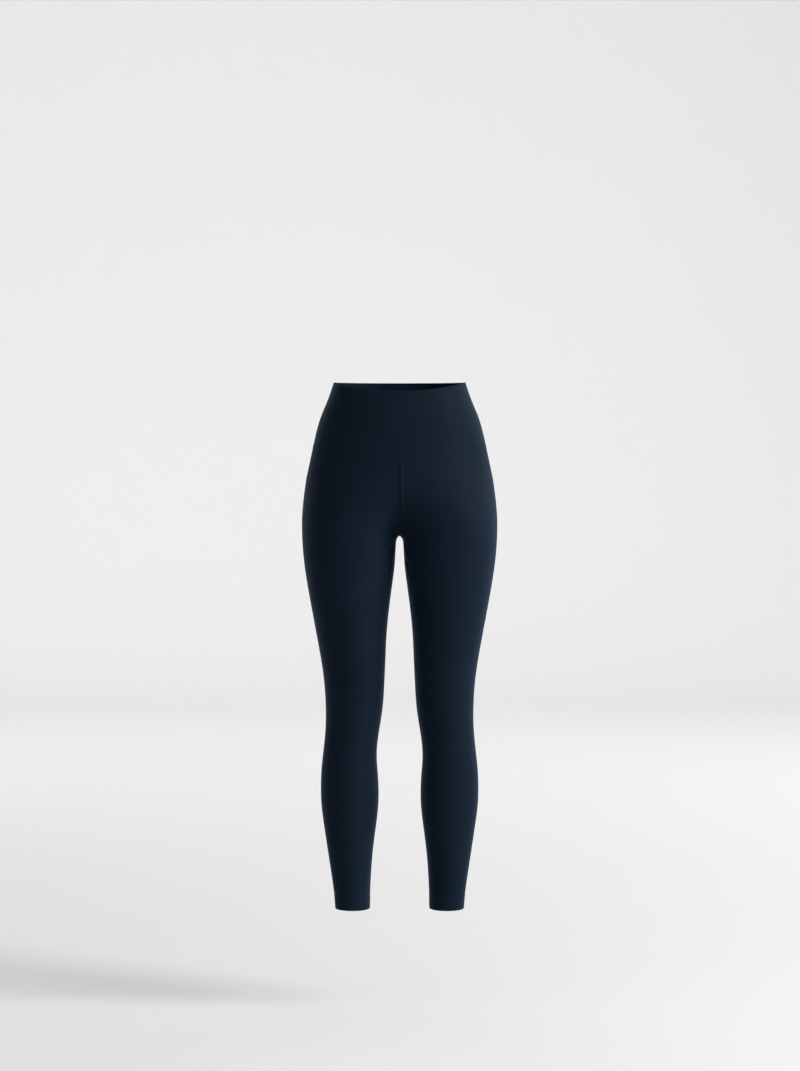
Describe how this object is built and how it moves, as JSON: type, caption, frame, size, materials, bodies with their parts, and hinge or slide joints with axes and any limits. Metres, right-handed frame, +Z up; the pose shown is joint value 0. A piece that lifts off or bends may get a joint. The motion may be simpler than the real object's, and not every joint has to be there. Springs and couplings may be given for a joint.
{
  "type": "leggings",
  "caption": "High-waisted ankle-length leggings in plain dark stretch jersey, hollow as worn, with a deep curved waistband and turned-up hems.",
  "frame": {"origin": "centre of the waist opening, level with the highest point of the waistband's top edge", "axes": "+Z up, from the hems to the waist; the front faces -Y; +X is towards the wearer's left leg"},
  "size_m": [0.3518, 0.227, 0.951],
  "materials": {
    "leg_jersey": "matte dark navy stretch jersey with a faint soft sheen",
    "band_jersey": "matte dark navy stretch jersey, cut double"
  },
  "bodies": {
    "root": {"leg_left_front": "leg_jersey", "leg_left_back": "leg_jersey", "leg_right_front": "leg_jersey", "leg_right_back": "leg_jersey", "waistband_front": "band_jersey", "waistband_back": "band_jersey"}
  },
  "joints": []
}
